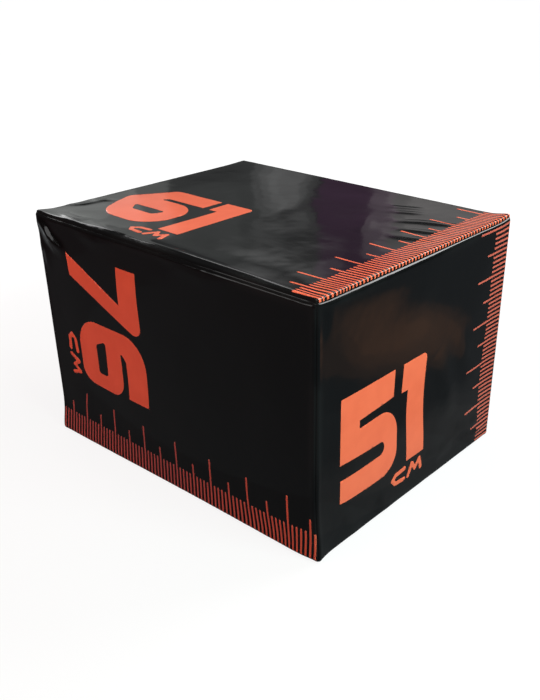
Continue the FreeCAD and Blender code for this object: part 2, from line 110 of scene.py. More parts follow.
def cut_grid(piece, axes, pitch, wanted=None):
    """Cuts a mesh, or only its wanted faces, into squares of this pitch across these axes."""
    places = points_of(piece)
    open_mesh(piece, "VERT")
    if wanted:
        pick(piece, "FACE", wanted)
        bpy.ops.mesh.hide(unselected=True)
    for axis in axes:
        low, high = places[:, axis].min(), places[:, axis].max()
        normal = Vector((0, 0, 0))
        normal[axis] = 1
        for step in range(1, int((high - low) / pitch) + 1):
            slice_all(normal * (low + step * pitch), normal)
    bpy.ops.mesh.reveal(select=False)
    close_mesh(piece)


def close_mesh(piece):
    bpy.ops.object.mode_set(mode="OBJECT")
    return piece


def new_cube(name, low, high):
    """A cube primitive stretched between two corners, its place in its mesh."""
    bpy.ops.object.select_all(action="DESELECT")
    bpy.ops.mesh.primitive_cube_add(size=1)
    piece = bpy.context.object
    piece.name = piece.data.name = name
    low, high = Vector(low), Vector(high)
    bpy.ops.object.mode_set(mode="EDIT")
    bpy.ops.transform.resize(value=high - low)
    bpy.ops.transform.translate(value=(low + high) / 2)
    return close_mesh(piece)


def new_object(name, data):
    """An object in the scene with this mesh, curve, lamp or camera."""
    made = bpy.data.objects.new(name, data)
    bpy.context.scene.collection.objects.link(made)
    return made


def copy_of(node, name):
    """A copy of a CAD node's mesh, with its loose triangles merged."""
    piece = new_object(name, nodes[node].data.copy())
    piece.data.name = name
    open_mesh(piece, "VERT", "SELECT")
    bpy.ops.mesh.remove_doubles(threshold=TOUCHING)
    return close_mesh(piece)


def apply_modifier(piece, kind, **settings):
    """Adds a modifier with these settings and applies it."""
    only(piece)
    added = piece.modifiers.new(kind.title(), kind)
    for name, value in settings.items():
        setattr(added, name, value)
    bpy.ops.object.modifier_apply(modifier=added.name)


def shade(piece, sharp):
    """Shades a piece smooth, apart from edges sharper than this angle in degrees."""
    only(piece)
    if sharp < 180:
        bpy.ops.object.shade_smooth_by_angle(angle=math.radians(sharp))
    else:
        bpy.ops.object.shade_smooth()


def points_of(piece):
    places = np.zeros(len(piece.data.vertices) * 3)
    piece.data.vertices.foreach_get("co", places)
    return places.reshape(-1, 3)


def set_points(piece, places):
    piece.data.vertices.foreach_set("co", places.astype(np.float32).ravel())
    piece.data.update()


def set_attribute(piece, name, values):
    """Gives each point a number that a finish can read."""
    layer = piece.data.attributes.new(name, "FLOAT", "POINT")
    layer.data.foreach_set("value", values.astype(np.float32))


# %% [markdown]
# ## Shader maths
# A finish is a small network of nodes. Written as sums it stays readable: a Wire wraps one socket,
# arithmetic on it adds Math nodes, and one method adds any other node.

# %% Wires
class Wire:
    """An output socket of a material, with arithmetic."""

    def __init__(self, tree, socket=None):
        self.tree = tree
        self.socket = socket

    def node(self, kind, settings=None, output=0, **sockets):
        """Any node: its settings first, then its sockets by name, as numbers, colours or wires."""
        made = self.tree.nodes.new("ShaderNode" + kind)
        for name, value in (settings or {}).items():
            setattr(made, name, value)
        for name, value in sockets.items():
            place = int(name[1:]) if name[1:].isdigit() else name.replace("_", " ")
            self.join(value, made.inputs[place])
        return Wire(self.tree, made.outputs[output])

    def join(self, value, socket):
        if isinstance(value, Wire):
            self.tree.links.new(value.socket, socket)
        else:
            socket.default_value = value

    def maths(self, operation, first, second):
        return self.node("Math", {"operation": operation}, s0=first, s1=second)

    def __add__(self, other):
        return self.maths("ADD", self, other)

    def __rsub__(self, other):
        return self.maths("SUBTRACT", other, self)

    def __mul__(self, other):
        return self.maths("MULTIPLY", self, other)

    __radd__ = __add__
    __rmul__ = __mul__

    def between(self, low, high, start=0.0, end=1.0):
        """Where the value goes from low to high, a smooth step from start to end."""
        return self.node(
            "MapRange", {"interpolation_type": "SMOOTHSTEP"},
            Value=self, From_Min=low, From_Max=high, To_Min=start, To_Max=end)

    def blend(self, first, second):
        """A colour that goes from the first to the second as this value goes from 0 to 1."""
        return self.node("Mix", {"data_type": "RGBA"}, output=2, s0=self, s6=first, s7=second)

    def bump(self, strength, distance):
        return self.node("Bump", Height=self, Strength=strength, Distance=distance)


def new_finish(name, **constants):
    """A material with a Principled shader; gives it, its wires and its object coordinates."""
    print("finish:", name)
    material = bpy.data.materials.new(name)
    material.use_nodes = True
    tree = material.node_tree
    shader = tree.nodes["Principled BSDF"]
    for socket, value in constants.items():
        shader.inputs[socket.replace("_", " ")].default_value = value
    wires = Wire(tree)
    return material, shader, wires, wires.node("TexCoord", output=3)


def feed(shader, wires, **inputs):
    for socket, wire in inputs.items():
        wires.join(wire, shader.inputs[socket.replace("_", " ")])


def dress(piece, material):
    """Gives a piece its finish in place of any that it had."""
    piece.data.materials.clear()
    piece.data.materials.append(material)


def settle(piece, material, body, slot, *stands_for, sharp=180):
    """Shades and dresses a finished piece, says and sets what carries it, and hides the CAD nodes that it
    stands for.
    """
    shade(piece, sharp)
    dress(piece, material)
    print("piece:", piece.name, len(piece.data.polygons), "faces, on the", body)
    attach(piece, body)
    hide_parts(*stands_for)


# %% [markdown]
# ## Black vinyl
# The cover is PVC-coated cloth: near black, glossy, with a very fine leather grain. Its gloss
# is uneven where hands and shoes have rubbed it, and it greys a little along the edges. The grain is
# a bump, the unevenness goes into the roughness, and an attribute from the mesh brings the wear.

# %% Vinyl finish
BLACK, GREYED = (0.0028, 0.0028, 0.003, 1), (0.009, 0.009, 0.009, 1)


def soft_noise(wires, coords, scale, detail=2.0):
    return wires.node("TexNoise", Vector=coords, Scale=scale, Detail=detail)


def leather_bump(wires, coords, strength, distance):
    """The fine grain of the vinyl, which shows in the ink too."""
    grain = wires.node("TexVoronoi", {"feature": "SMOOTH_F1"}, Vector=coords, Scale=850.0)
    return grain.bump(strength, distance)


vinyl, shader, wires, coords = new_finish("black_vinyl", Specular_IOR_Level=0.3)
clouds = soft_noise(wires, coords, 9.0, 3.0)
smears = soft_noise(wires, wires.node("Mapping", Vector=coords, Scale=(3.0, 11.0, 6.0)), 4.0, 4.0)
rub = wires.node("Attribute", {"attribute_name": "rub"}, output=2)
worn = rub * clouds.between(0.35, 0.7)
feed(
    shader, wires,
    Base_Color=worn.blend(BLACK, GREYED),
    Roughness=0.06 + 0.05 * clouds + 0.05 * smears.between(0.45, 0.75) + 0.1 * worn,
    Normal=leather_bump(wires, coords, 0.04, 0.12 * MM),
)

# %% [markdown]
# ## Coral ink
# The numbers and rulers are screen printed in an opaque coral ink. It is a little less glossy than
# the vinyl, not perfectly even, and has pinholes where the vinyl's grain shows through. The thin
# marks of the rulers on the walls are duller, which an attribute from the mesh brings.

# %% Ink finish
CORAL, THIN_CORAL = (0.87, 0.15, 0.068, 1), (0.79, 0.124, 0.055, 1)
DULL_CORAL = (0.4, 0.085, 0.075, 1)

ink, shader, wires, coords = new_finish("coral_ink", Specular_IOR_Level=0.5)
clouds = soft_noise(wires, coords, 22.0, 4.0)
pinholes = soft_noise(wires, coords, 900.0, 1.0)
dull = wires.node("Attribute", {"attribute_name": "dull"}, output=2)
uneven = clouds.between(0.3, 0.75) * 0.6 + pinholes.between(0.62, 0.8) * 0.5
feed(
    shader, wires,
    Base_Color=dull.blend(uneven.blend(CORAL, THIN_CORAL), DULL_CORAL),
    Roughness=0.09 + 0.08 * clouds,
    Normal=leather_bump(wires, coords, 0.08, 0.1 * MM),
)

# %% [markdown]
# ## How the cover lies
# A cover like this is sewn a little large and pulled over the foam, so it is never quite flat. It
# swells between its seams, dips into them, ripples gently and has a few folds where it was creased.
# A cloth simulation would put the folds anywhere; here each one follows the photograph, so the lie of
# the cover is written as one function that the panels and the ink on them share.

# %% The rounded box
HALF_LENGTH, HALF_WIDTH, HEIGHT = cad_box[1].x, cad_box[1].y, cad_box[1].z
EDGE_RADIUS = 9 * MM
# The seams run along the middle of the rounded edges, this far inside the box's sides
SEAM_INSET = EDGE_RADIUS * (1 - math.sqrt(0.5))
INNER_LOW = np.array([EDGE_RADIUS - HALF_LENGTH, EDGE_RADIUS - HALF_WIDTH, EDGE_RADIUS])
INNER_HIGH = np.array([HALF_LENGTH - EDGE_RADIUS, HALF_WIDTH - EDGE_RADIUS, HEIGHT - EDGE_RADIUS])


def smooth_step(values, low, high):
    share = np.clip((values - low) / (high - low), 0, 1)
    return share * share * (3 - 2 * share)


def bell(values, width, middle=0.0):
    """1 at the middle, fading to nothing about two widths away from it."""
    return np.exp(-((values - middle) / width) ** 2)


def on_surface(places):
    """The nearest point of the rounded box, and which way is out of it there."""
    core = np.clip(places, INNER_LOW, INNER_HIGH)
    away = places - core
    gaps = np.concatenate([places - INNER_LOW, INNER_HIGH - places], axis=1).argmin(axis=1)
    under = np.zeros_like(places)
    under[np.arange(len(places)), gaps % 3] = np.where(gaps < 3, -1, 1)
    deep = np.linalg.norm(away, axis=1) < TOUCHING
    way = np.where(deep[:, None], under, away)
    way = way / np.linalg.norm(way, axis=1)[:, None]
    return core + EDGE_RADIUS * way, way


def ripple(places, size, seed):
    """Smooth unevenness from -1 to 1 with bumps of about this size, the same on each run."""
    count = 32
    lattice = np.random.default_rng(seed).uniform(-1, 1, (count, count, count))
    at = places / size + 3 * count
    cell = np.floor(at).astype(int)
    part = at - cell
    part = part * part * (3 - 2 * part)
    total = np.zeros(len(places))
    for corner in itertools.product((0, 1), repeat=3):
        weight = np.where(corner, part, 1 - part).prod(axis=1)
        spot = (cell + corner) % count
        total += weight * lattice[spot[:, 0], spot[:, 1], spot[:, 2]]
    return total


# %% Distances
def insets(places):
    """How far each point is inside the box's ends, inside its sides and below its top."""
    return HALF_LENGTH - abs(places[:, 0]), HALF_WIDTH - abs(places[:, 1]), HEIGHT - places[:, 2]


def edge_distance(places):
    """How far each point of the surface is from the nearest edge of the box."""
    across, deep, down = insets(places)
    return np.sort(np.stack([across, deep, np.minimum(down, places[:, 2])], axis=1), axis=1)[:, 1]


def corner_distance(over, up):
    """How far a point is from a corner's two sides that it is this far past; negative inside them."""
    return np.hypot(np.maximum(over, 0), np.maximum(up, 0)) + np.minimum(np.maximum(over, up), 0)


def seam_distance(places):
    """How far each point is from the nearest seam: round the top, down the corners, under the base."""
    across, deep, down = (inset - SEAM_INSET for inset in insets(places))
    lid = np.hypot(np.minimum(abs(across), abs(deep)), down)
    corners = np.sqrt(across ** 2 + deep ** 2 + np.minimum(down, 0) ** 2)
    outline = corner_distance(EDGE_RADIUS - SEAM_INSET - across, EDGE_RADIUS - SEAM_INSET - deep)
    base = np.hypot(outline, places[:, 2])
    return np.minimum(np.minimum(lid, corners), base)


# The zip's middle line on the left end: its half width, lowest height and corner radius
CHAIN_HALF, CHAIN_LOW, CHAIN_CORNER = 251 * MM, 54 * MM, 54 * MM
# How high the flap's hinge is and where the closed slider parks
HINGE_HEIGHT, PARK_HEIGHT = 425 * MM, 474 * MM
# What counts as the left end, and a distance that stands for far away
END_DEPTH, FAR = 12 * MM, 1.0


def zip_distance(places):
    """How far a point of the left end is from the zip and the flap's hinge; elsewhere, a long way."""
    side, up = abs(places[:, 1]), places[:, 2]
    middle, half = (CHAIN_LOW + HINGE_HEIGHT) / 2, (HINGE_HEIGHT - CHAIN_LOW) / 2
    radius = np.where(up < middle, CHAIN_CORNER, 0)
    outline = corner_distance(side - CHAIN_HALF + radius, abs(up - middle) - half + radius) - radius
    park = np.hypot(places[:, 1] - CHAIN_HALF, up - np.clip(up, HINGE_HEIGHT, PARK_HEIGHT))
    return np.where(places[:, 0] < END_DEPTH - HALF_LENGTH, np.minimum(abs(outline), park), FAR)


# %% Folds
# For each face of the box, the axis across it and how far along that it is, in millimetres
FACES = {"top": (2, 510), "front": (1, -305), "right": (0, 380), "back": (1, 305), "left": (0, -380)}
# Each fold of a face: its half width, its height and the points it runs through, in millimetres
FOLDS = {
    "front": [
        (11, 5.0, (-378, 490), (-364, 488), (-350, 478), (-340, 465), (-326, 457), (-308, 450), (-290, 442)),
        (11, 1.6, (-376, 452), (-360, 430), (-356, 390)),
        (12, 1.2, (-250, 498), (-180, 488), (-110, 497)),
        (14, 1.0, (40, 495), (120, 487), (210, 496)),
    ],
    "top": [
        (10, 2.0, (-378, -236), (-352, -205), (-340, -150)),
        (9, 1.4, (-372, -182), (-346, -158), (-310, -140)),
        (13, 2.2, (-330, -270), (-285, -284), (-240, -276)),
        (14, 2.0, (-215, -276), (-160, -288), (-105, -280)),
        (15, 1.4, (-60, -284), (20, -292), (90, -286)),
        (6, 1.0, (-40, -281), (110, -283), (260, -287)),
        (11, 1.1, (140, 196), (182, 212), (222, 232)),
        (11, 1.1, (165, 166), (202, 185), (240, 204)),
        (12, 1.3, (200, 112), (258, 150), (304, 168), (356, 182)),
        (12, 1.2, (240, 84), (300, 104), (356, 124)),
        (12, 1.2, (256, 40), (310, 58), (358, 74)),
        (22, 1.3, (150, 120), (190, 60), (210, 10)),
        (30, 1.5, (-40, 150), (0, 60), (10, -60)),
    ],
    "right": [
        (12, 0.5, (-292, 440), (-283, 300), (-290, 140)),
        (26, 2.2, (60, 300), (110, 200), (130, 120)),
        (24, 1.8, (130, 330), (170, 240), (240, 190)),
        (13, 1.8, (-230, 60), (-190, 22), (-170, 8)),
        (13, 2.0, (-120, 48), (-92, 20), (-70, 8)),
        (16, 1.8, (40, 70), (90, 48), (150, 52)),
        (13, 2.4, (150, 88), (210, 62), (262, 70)),
        (9, 2.2, (200, 48), (240, 34), (290, 42)),
    ],
    "back": [
        (16, 1.6, (-300, 470), (-180, 486), (-60, 478)),
        (22, 2.0, (120, 440), (220, 400), (330, 420)),
        (18, 2.0, (-340, 90), (-250, 60), (-160, 70)),
        (15, 1.8, (60, 30), (160, 48), (280, 28)),
        (34, 1.8, (-40, 330), (40, 250), (60, 150)),
    ],
    "left": [
        (10, 1.4, (-296, 470), (-285, 330), (-294, 160)),
        (10, 1.4, (294, 430), (284, 280), (292, 120)),
        (10, 1.4, (-180, 24), (-60, 15), (90, 22)),
        (12, 1.4, (-150, 500), (0, 488), (140, 496)),
    ],
}

folds = []
for face, rows in FOLDS.items():
    axis, level = FACES[face]
    for half_width, height, *spots in rows:
        folds.append(([(*spot[:axis], level, *spot[axis:]) for spot in spots], half_width, height))
print("folds:", len(folds))


def fold_height(places, path, half_width, height):
    """A soft ridge that runs through the points of a path and fades at both its ends."""
    path = np.array(path) * MM
    spans = np.linalg.norm(np.diff(path, axis=0), axis=1)
    run = spans.sum()
    nearest = np.full(len(places), np.inf)
    along = np.zeros(len(places))
    before = 0.0
    for start, end, span in zip(path, path[1:], spans):
        share = np.clip((places - start) @ (end - start) / span ** 2, 0, 1)
        gap = np.linalg.norm(places - start - share[:, None] * (end - start), axis=1)
        closer = gap < nearest
        nearest = np.where(closer, gap, nearest)
        along = np.where(closer, (before + share * span) / run, along)
        before += span
    fade = np.sin(np.pi * np.clip(along, 0.02, 0.98)) ** 0.7
    return height * MM * fade * bell(nearest, half_width * MM)


# %% Lid and walls
# Places along the front edge, how broad the lid's slope to its seam is there and how high, in millimetres
FRONT_SLOPE = np.array([
    (-380, 5.5, 1.5), (-300, 6.5, 2.6), (-200, 13, 4.4), (-130, 17, 4.6),
    (240, 19, 4.6), (320, 13, 4.4), (380, 9, 3.8),
]) * MM
# How high the lid's roll is on the right and at the back, how far it reaches in and where it starts
RIGHT_ROLL, BACK_ROLL, ROLL_REACH = 3.8 * MM, 1.6 * MM, 45 * MM
ROLL_FOOT, SLOPE_FOOT = 5.8 * MM, 4 * MM
# How far the walls stand out below the lid, how far down that goes, and how far out at their corners
SHOULDER, SHOULDER_REACH, UPRIGHT = 2.8 * MM, 60 * MM, 0.8 * MM


def lid_roll(places):
    """How far the lid stands up beside its seam: a tight roll at the ends and back, a slope in front."""
    right, left = HALF_LENGTH - places[:, 0], HALF_LENGTH + places[:, 0]
    back, front = HALF_WIDTH - places[:, 1], HALF_WIDTH + places[:, 1]
    broad, high = (np.interp(places[:, 0], FRONT_SLOPE[:, 0], FRONT_SLOPE[:, column]) for column in (1, 2))
    height = np.zeros(len(places))
    for inset, most in ((right, RIGHT_ROLL), (front, high), (back, BACK_ROLL)):
        height = np.maximum(height, most * bell(inset, ROLL_REACH))
    for inset in (right, left, back):
        height *= smooth_step(inset, SEAM_INSET, ROLL_FOOT)
    return height * np.clip((front - SLOPE_FOOT) / (broad - SLOPE_FOOT), 0, 1)


def wall_swell(places):
    """How far the walls stand out: on the right side below the lid, and along all the corner seams."""
    across, deep, down = insets(places)
    shoulder = smooth_step(down, SEAM_INSET, 13 * MM) * bell(down, SHOULDER_REACH)
    on_right_side = (places[:, 0] > 0) & (across < deep)
    fading = smooth_step(deep, 5 * MM, 40 * MM) * (1 - 0.8 * smooth_step(places[:, 1], 0, 200 * MM))
    shoulder *= np.where(on_right_side, fading, 0.1)
    upright = bell(np.hypot(across - SEAM_INSET, deep - SEAM_INSET), 7 * MM)
    upright *= smooth_step(down, 2 * MM, 40 * MM)
    return SHOULDER * shoulder + UPRIGHT * upright


# %% Slack
# How far the middle of a side swells, and how far from the edges it is full
SWELL, SWELL_REACH = 1.6 * MM, 130 * MM
# The ripples: their size, height, random seed and the share of them that is left at the edges
RIPPLES = [
    (105 * MM, 0.55 * MM, 11, 0.35),
    (41 * MM, 0.2 * MM, 12, 0.3),
    (15 * MM, 0.06 * MM, 13, 1.0),
]
# Beside the zip: where the hem and the stitches are, how high the hem is and how deep the stitches go
HEM_OUT, STITCH_OUT = 11 * MM, 14.5 * MM
HEM_HIGH, STITCH_DEEP = 0.25 * MM, 0.5 * MM
# Beside a seam: where the vinyl puckers and how much, and how deep its groove is
PUCKER_OUT, PUCKER = 6 * MM, 0.25 * MM
SHALLOW, DEEP = 1.0 * MM, 1.5 * MM


def seam_dip(places, lid):
    """How far the vinyl turns in at the seams, less at the tips of the corners, and puckers beside them."""
    across, deep, down = insets(places)
    seam = seam_distance(places)
    pucker = PUCKER * (1 + 0.7 * ripple(places, 12 * MM, 14)) * bell(seam, 3 * MM, PUCKER_OUT)
    tip = bell(np.sqrt(across ** 2 + deep ** 2 + down ** 2), 16 * MM)
    on_front_side = places[:, 1] < across - HALF_WIDTH
    depth = np.where(lid | on_front_side, SHALLOW, DEEP)
    groove = depth * bell(seam, np.where(lid, 1.2 * MM, 1.6 * MM))
    return (1 - 0.7 * tip) * groove - pucker


def slack(places):
    """How far the vinyl stands off the rounded foam at each point."""
    edge = edge_distance(places)
    away = smooth_step(edge, 4 * MM, 60 * MM)
    rise = SWELL * smooth_step(edge, 0, SWELL_REACH)
    for size, height, seed, at_edge in RIPPLES:
        rise += (at_edge + (1 - at_edge) * away) * height * ripple(places, size, seed)
    for path, half_width, height in folds:
        rise += fold_height(places, path, half_width, height)
    zipped = zip_distance(places)
    rise *= 0.1 + 0.9 * smooth_step(zipped, 9 * MM, 60 * MM)
    rise += HEM_HIGH * bell(zipped, 2 * MM, HEM_OUT) - STITCH_DEEP * bell(zipped, 1.3 * MM, STITCH_OUT)
    across, deep, down = insets(places)
    lid = (down < across) & (down < deep)
    return rise + np.where(lid, lid_roll(places), wall_swell(places)) - seam_dip(places, lid)


# %% Pushed corners
# Where the stiff seams push the cover out or in: the place, the reach and the push, in millimetres
pushes = [
    ((-380, -305, 510), (24, 24, 24), (-2.5, -1, 3.5)),
    ((380, -305, 510), (15, 15, 15), (0.5, -1, 2)),
    ((380, 305, 510), (26, 26, 26), (0.5, 0, 4)),
    ((-400, -305, 0), (360, 60, 45), (0, -9, 0)),
    ((-380, -305, 0), (25, 40, 60), (-1.5, 0, 0)),
    ((380, -305, 0), (30, 30, 80), (4.5, 5, 0)),
]


def moved_by(places, moves):
    """The sum of moves that each fade away from a centre, given in millimetres."""
    total = np.zeros_like(places)
    for centre, reach, move in np.array(moves) * MM:
        gap = np.linalg.norm((places - centre) / reach, axis=1)
        total += bell(gap, 1)[:, None] * move
    return total


print("pushes:", len(pushes))

# %% [markdown]
# ## Cover panels
# Six sides were cut flat, sewn inside out and turned. Each panel starts as a whole cube with rounded
# edges, is cut back to its share along the seams, and gets rows of cuts beside them so that the lips
# of the seams can roll in. Its long edges are then divided to about 4 mm, the lie of the cover moves
# its points, and Solidify gives it the thickness of the vinyl.

# %% Panels
LIP_ROWS = [0.6 * MM, 1.2 * MM, 1.9 * MM, 2.8 * MM, 4.2 * MM, 6.0 * MM]
VINYL_THICK = 1 * MM
LONG_EDGE = 20 * MM
# How often an edge along each axis is divided, in two goes
DIVISIONS = [(13, 13), (11, 12), (9, 12)]
# How far in from an edge the vinyl is rubbed most, and not at all
RUB_FULL, RUB_END = 2 * MM, 26 * MM


def runs_along(edge, axis):
    span = edge.verts[1].co - edge.verts[0].co
    return span.length > LONG_EDGE and abs(span[axis]) > 0.999 * span.length


def rounded_box(name):
    """The whole outside of the cover, its edges rounded."""
    piece = new_cube(name, cad_box[0], cad_box[1])
    open_mesh(piece, action="SELECT")
    bpy.ops.mesh.bevel(offset=EDGE_RADIUS, segments=8, profile=0.5, affect="EDGES")
    return piece


def cut_back(point, normal):
    """Cuts away what lies past a seam, then cuts the rows of its lip."""
    point, normal = Vector(point), Vector(normal).normalized()
    slice_all(point, normal, drop=True)
    for row in LIP_ROWS:
        slice_all(point - normal * row, normal)


def divide_panel(piece):
    for axis, goes in enumerate(DIVISIONS):
        for cuts in goes:
            if pick(piece, "EDGE", lambda edge: runs_along(edge, axis)):
                bpy.ops.mesh.subdivide(number_cuts=cuts)
    close_mesh(piece)


def lay_cover(piece, lift=0.0):
    """Moves a piece's points to the lie of the cover."""
    places = points_of(piece)
    surface, way = on_surface(places)
    set_points(piece, places + way * (slack(surface) + lift)[:, None] + moved_by(surface, pushes))


def mark_rub(piece):
    """Where the vinyl is rubbed: along the edges, in patches."""
    places = points_of(piece)
    along_edges = 1 - smooth_step(edge_distance(places), RUB_FULL, RUB_END)
    rubbed = along_edges * (0.6 + 0.4 * ripple(places, 60 * MM, 21))
    rubbed += 0.25 * np.maximum(ripple(places, 130 * MM, 22), 0)
    set_attribute(piece, "rub", np.clip(rubbed, 0, 1))


def finish_panel(piece, node):
    """Lays, thickens and dresses a cover panel that stands for a CAD node."""
    divide_panel(piece)
    mark_rub(piece)
    lay_cover(piece)
    apply_modifier(piece, "SOLIDIFY", thickness=VINYL_THICK, offset=-1.0)
    settle(piece, vinyl, "cover", "vinyl", node)
    return piece


UP = Vector((0, 0, 1))
SIDES = [Vector(side) for side in ((1, 0, 0), (-1, 0, 0), (0, 1, 0), (0, -1, 0))]
BOX_CORNER, INNER_CORNER = Vector(cad_box[1]), Vector(INNER_HIGH)

top = rounded_box("top_vinyl")
for side in SIDES:
    cut_back((side + UP) * BOX_CORNER, side - UP)
finish_panel(top, "top_panel")

base = rounded_box("base_vinyl")
for side in SIDES:
    cut_back(side * INNER_CORNER, side)
slice_all(UP * EDGE_RADIUS, UP, drop=True)
finish_panel(base, "base_panel")


def wall(name, side):
    """A side of the cover, between its corner seams and under the top seam."""
    piece = rounded_box(name)
    side = Vector(side)
    for along in (side.cross(UP), side.cross(-UP), UP):
        cut_back((side + along) * BOX_CORNER, along - side)
    slice_all(side * INNER_CORNER, -side, drop=True)
    return piece


for name, side, run in (
    ("front", (0, -1, 0), 0.76), ("right", (1, 0, 0), 0.61), ("back", (0, 1, 0), 0.76),
):
    panel = finish_panel(wall(f"{name}_vinyl", side), f"{name}_panel")

# %% [markdown]
# ## Print
# The ink is far too thin to see from the side, so its outlines come from the CAD solids. A copy is
# cut into small squares, lifted just clear of the vinyl and laid with the same function, so that it
# follows every fold. The cloth had also crept a little before it was sewn, which bends the marks.

# %% Printed numbers and rulers
INK_LIFT = 0.25 * MM
# The squares of the ink on the sides and over the edge, and how far it runs past the seam
INK_PITCH, EDGE_PITCH, PAST_SEAM = 5 * MM, 1 * MM, 0.4 * MM
# Lengths up an end: to the CAD model's seam, to the seam in the middle of the edge and over the edge
CAD_SEAM = HEIGHT - 9.5 * MM
AT_SEAM = HEIGHT - EDGE_RADIUS + EDGE_RADIUS * math.pi / 4
OVER_EDGE = HEIGHT - EDGE_RADIUS + EDGE_RADIUS * math.pi / 2

# Each creep: where it is, how far it reaches and where it takes the ink, in millimetres
creeps = [
    ((-270, -305, 215), (130, 60, 120), (9, 0, 3)),
    ((-190, -305, 400), (150, 60, 90), (-4, 0, 1)),
    ((-90, -305, 225), (45, 60, 90), (9, 0, 0)),
    ((-320, -305, 125), (100, 60, 36), (9, 0, 9)),
    ((380, -305, 70), (70, 60, 80), (6, 0, 8)),
    ((380, 255, 170), (30, 70, 120), (0, -10, 8)),
    ((380, 180, 195), (30, 40, 60), (0, -12, 4)),
    ((380, 250, 400), (30, 40, 120), (0, -4, 0)),
    ((380, -15, 230), (60, 60, 90), (0, -8, 0)),
    ((380, 25, 230), (40, 30, 130), (0, -4, 0)),
    ((380, -75, 150), (60, 50, 80), (0, -3, 2)),
    ((380, 10, 90), (60, 60, 70), (0, 6, 0)),
    ((380, -170, 110), (60, 40, 60), (0, 4, 0)),
    ((380, -45, 50), (60, 50, 22), (0, 4, -2)),
    ((380, 120, 510), (90, 120, 30), (0, -5, 0)),
    ((380, -262, 510), (120, 34, 30), (0, 10, 0)),
    ((-105, -90, 510), (45, 130, 30), (5, 0, 0)),
    ((-93, -245, 510), (70, 24, 30), (-3, 3, 0)),
    ((-290, -200, 510), (50, 50, 30), (3, 4, 0)),
    ((380, -301, 510), (150, 10, 30), (0, 6, 0)),
    ((330, -305, 110), (130, 60, 45), (0, 0, 7)),
    ((250, -305, 5), (85, 60, 50), (9, 0, 0)),
    ((370, -305, 0), (40, 60, 60), (-4, 0, 0)),
    ((290, -280, 510), (36, 50, 30), (-9, 0, 0)),
]


def crept(places):
    """Where the creep takes the ink: along the cover, never off it."""
    depth = np.linalg.norm(places - np.clip(places, INNER_LOW, INNER_HIGH), axis=1) - EDGE_RADIUS
    surface, way = on_surface(places + moved_by(places, creeps))
    return surface + way * depth[:, None]


def drawn_up(places, still, end, goal):
    """Stretches what runs up an end and over its edge: its end comes to the goal and the still point stays."""
    out, up = abs(places[:, 0]) - INNER_HIGH[0], places[:, 2] - INNER_HIGH[2]
    radius = np.where(up > 0, np.hypot(out, up), out)
    run = INNER_HIGH[2] + np.where(up > 0, EDGE_RADIUS * np.arctan2(up, out), up)
    share = (run - still) / (end - still)
    run = np.where(share > 0, still + share * (goal - still), run) - INNER_HIGH[2]
    turn = np.clip(run / EDGE_RADIUS, 0, math.pi / 2)
    moved = places.copy()
    moved[:, 0] = np.sign(places[:, 0]) * (INNER_HIGH[0] + radius * np.cos(turn))
    moved[:, 2] = INNER_HIGH[2] + np.where(run > 0, radius * np.sin(turn), run)
    return np.where((out > 0)[:, None], moved, places)


def print_ink(node, axes, over_edge=False, dull=(0, 0, 0)):
    """The ink of one CAD node, laid on the cover.

    Axes are the ways it is cut into strips, and dull says how dull it is at the left, middle and right.
    """
    piece = copy_of(node, node + "_ink")
    cut_grid(piece, axes, INK_PITCH)
    set_attribute(piece, "dull", np.interp(points_of(piece)[:, 0], (-HALF_LENGTH, 0, HALF_LENGTH), dull))
    if over_edge:
        cut_grid(piece, axes, EDGE_PITCH, lambda face: face.calc_center_median().x > INNER_HIGH[0])
        set_points(piece, drawn_up(points_of(piece), OVER_EDGE, CAD_SEAM, AT_SEAM + PAST_SEAM))
    set_points(piece, crept(points_of(piece)))
    lay_cover(piece, INK_LIFT)
    settle(piece, ink, "cover", "ink", node, sharp=40)


print_ink("print_76", (0, 2))
print_ink("print_51", (1, 2))
print_ink("print_61", (0, 1))
print_ink("ruler_76", (2,), dull=(0.9, 0.95, 0.2))
print_ink("ruler_51", (1,), dull=(0.6, 0.6, 0.6))
print_ink("ruler_61", (0,), over_edge=True)

# %% [markdown]
# ## Zipped end
# The left end has a flap that the zip closes, so that the foam can be put in. Round the opening the
# vinyl is turned in as a deep hem and topstitched. The frame and the flap are copies of their CAD
# solids with rounded edges. They are cut into squares, small ones beside the zip, where the row of
# stitches draws the vinyl in.

# %% Frame and flap
HEM_EDGE = 0.8 * MM
END_PITCH = 9 * MM
# The band beside the zip that is cut finer
STITCHED_PITCH, STITCHED_FROM, STITCHED_TO = 2.6 * MM, 8 * MM, 22 * MM
# Where the frame starts to be drawn up to the lid's seam, and how that spreads the rows of its lip
DRAWN_FROM, LIP_SPREAD = CAD_SEAM - 20 * MM, 1.4


def soften(piece, width, segments=2):
    """Merges a CAD copy's flat triangles and rounds its sharp edges."""
    open_mesh(piece, "FACE", "SELECT")
    bpy.ops.mesh.dissolve_limited(angle_limit=math.radians(0.5))
    close_mesh(piece)
    apply_modifier(
        piece, "BEVEL", width=width, segments=segments,
        limit_method="ANGLE", angle_limit=math.radians(50))


def beside_zip(face):
    gap = zip_distance(np.array([face.calc_center_median()]))[0]
    return STITCHED_FROM < gap < STITCHED_TO


def end_piece(node, name, body):
    """The frame or the flap of the zipped end."""
    piece = copy_of(node, name)
    soften(piece, HEM_EDGE)
    cut_grid(piece, (1, 2), END_PITCH)
    cut_grid(piece, (1, 2), STITCHED_PITCH, beside_zip)
    if body == "cover":
        open_mesh(piece)
        for row in LIP_ROWS:
            slice_all((0, 0, CAD_SEAM - LIP_SPREAD * row), UP)
        close_mesh(piece)
        set_points(piece, drawn_up(points_of(piece), DRAWN_FROM, CAD_SEAM, AT_SEAM))
    mark_rub(piece)
    lay_cover(piece)
    settle(piece, vinyl, body, "vinyl", node, sharp=45)
    return piece


